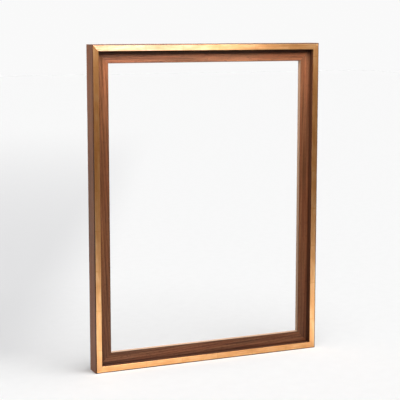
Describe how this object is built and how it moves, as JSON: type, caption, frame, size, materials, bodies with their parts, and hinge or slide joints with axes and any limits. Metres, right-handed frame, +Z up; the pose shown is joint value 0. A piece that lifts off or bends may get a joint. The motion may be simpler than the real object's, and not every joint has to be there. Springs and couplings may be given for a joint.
{
  "type": "floating frame",
  "caption": "Deep mitred wooden frame with a gilt face and a set-back ledge, which holds a canvas or panel with a shadow gap all round; the ring hangers behind it fold.",
  "frame": {"origin": "middle of the frame's footprint, on the surface its bottom edge stands on; the footprint's depth includes the wall bumpers", "axes": "+Z up along the upright rails, +X to the right as seen from the face, +Y from the gilt face to the back"},
  "size_m": [0.498, 0.037, 0.651],
  "materials": {
    "walnut": "solid walnut, hand-sanded, oiled to a low satin",
    "gilt": "hardwood slip with gold-coloured metal leaf, amber-toned satin lacquer",
    "nail_steel": "blued spring steel strip",
    "nickel_plate": "nickel-plated folded sheet",
    "nickel_wire": "nickel-plated bent wire",
    "screw_steel": "zinc-plated steel",
    "bumper_rubber": "soft self-adhesive rubber"
  },
  "bodies": {
    "frame": {"rail_bottom": "walnut", "rail_top": "walnut", "rail_left": "walnut", "rail_right": "walnut", "gilt_face_bottom": "gilt", "gilt_face_top": "gilt", "gilt_face_left": "gilt", "gilt_face_right": "gilt", "corner_nails_top_left": "nail_steel", "corner_nails_top_right": "nail_steel", "corner_nails_bottom_left": "nail_steel", "corner_nails_bottom_right": "nail_steel", "hanger_strap_left": "nickel_plate", "hanger_screws_left": "screw_steel", "wall_bumper_left": "bumper_rubber", "hanger_strap_right": "nickel_plate", "hanger_screws_right": "screw_steel", "wall_bumper_right": "bumper_rubber"},
    "ring_left": {"hanger_ring_left": "nickel_wire"},
    "ring_right": {"hanger_ring_right": "nickel_wire"}
  },
  "joints": [
    {"name": "ring_hinge_left", "type": "hinge", "parent": "frame", "child": "ring_left", "pos_m": [-0.224, 0.0059, 0.456], "axis": [1, 0, 0], "range_deg": [0, 178]},
    {"name": "ring_hinge_right", "type": "hinge", "parent": "frame", "child": "ring_right", "pos_m": [0.224, 0.0059, 0.456], "axis": [1, 0, 0], "range_deg": [0, 178]}
  ]
}
